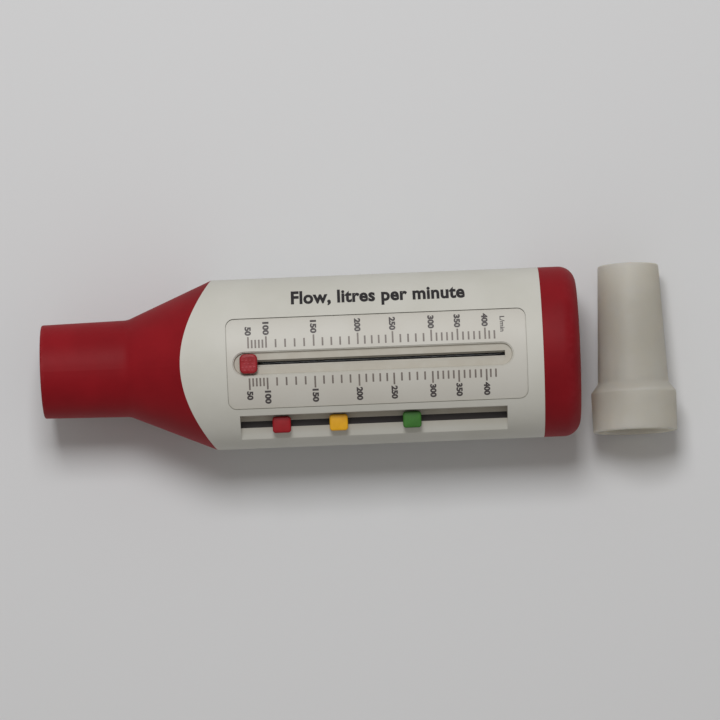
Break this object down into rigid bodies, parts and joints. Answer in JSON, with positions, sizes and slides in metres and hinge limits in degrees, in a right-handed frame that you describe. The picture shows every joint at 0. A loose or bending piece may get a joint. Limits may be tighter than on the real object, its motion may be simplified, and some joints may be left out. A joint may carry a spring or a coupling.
{
  "type": "peak flow meter",
  "caption": "Piston-type peak flow meter with an oval barrel, a sliding pointer on a litres-per-minute scale, coloured zone markers, an end cap and a loose mouthpiece.",
  "frame": {"origin": "centre of the inlet bore's mouth, where one blows in", "axes": "+X along the flow from the mouth to the cap, +Z out of the scale face, +Y across the scale; the meter lies on its back"},
  "size_m": [0.1866, 0.0513, 0.0429],
  "materials": {
    "red_shell": "satin moulded ABS, deep red",
    "white_shell": "satin moulded ABS, white",
    "printed_scale": "printed white polycarbonate",
    "inner_plastic": "moulded, natural white",
    "seal_rubber": "soft silicone, dark",
    "rod_steel": "ground stainless",
    "rail_black": "moulded, black",
    "piston_plastic": "thin moulded acetal",
    "bush_brass": "turned",
    "pointer_red": "moulded, bright red",
    "marker_red": "moulded, red",
    "marker_yellow": "moulded, yellow",
    "marker_green": "moulded, green",
    "milky_plastic": "milky translucent polypropylene"
  },
  "bodies": {
    "meter_case": {"mouth_cone": "red_shell", "barrel": "white_shell", "scale_label": "printed_scale", "end_cap": "red_shell", "flow_tube": "inner_plastic", "tube_gasket": "seal_rubber", "front_spider": "inner_plastic", "guide_rod": "rod_steel", "rod_retainer": "rod_steel", "spring_collar": "inner_plastic", "return_spring": "rod_steel", "start_buffer": "seal_rubber", "end_buffer": "seal_rubber", "marker_rail": "rail_black"},
    "piston_slider": {"piston": "piston_plastic", "piston_bush": "bush_brass"},
    "pointer": {"pointer_knob": "pointer_red", "pointer_shoe": "pointer_red"},
    "red_zone": {"red_marker": "marker_red", "red_marker_shoe": "marker_red"},
    "yellow_zone": {"yellow_marker": "marker_yellow", "yellow_marker_shoe": "marker_yellow"},
    "green_zone": {"green_marker": "marker_green", "green_marker_shoe": "marker_green"},
    "loose_mouthpiece": {"mouthpiece": "milky_plastic"}
  },
  "joints": [
    {"name": "piston_slide", "type": "slide", "parent": "meter_case", "child": "piston_slider", "axis": [1, 0, 0], "range_m": [0, 0.0715], "stiffness_N_per_m": 2, "springref_m": -0.02, "deforming": ["return_spring"]},
    {"name": "pointer_slide", "type": "slide", "parent": "meter_case", "child": "pointer", "axis": [1, 0, 0], "range_m": [0, 0.0715]},
    {"name": "red_marker_slide", "type": "slide", "parent": "meter_case", "child": "red_zone", "axis": [1, 0, 0], "range_m": [-0.0089, 0.0054]},
    {"name": "yellow_marker_slide", "type": "slide", "parent": "meter_case", "child": "yellow_zone", "axis": [1, 0, 0], "range_m": [-0.0054, 0.0078]},
    {"name": "green_marker_slide", "type": "slide", "parent": "meter_case", "child": "green_zone", "axis": [1, 0, 0], "range_m": [-0.0078, 0.0247]},
    {"name": "mouthpiece_lift", "type": "slide", "parent": "meter_case", "child": "loose_mouthpiece", "axis": [0, 0, 1], "range_m": [0, 0.1]}
  ],
  "couplings": [
    {"joint": "pointer_slide", "follows": "piston_slide", "ratio": 1}
  ]
}
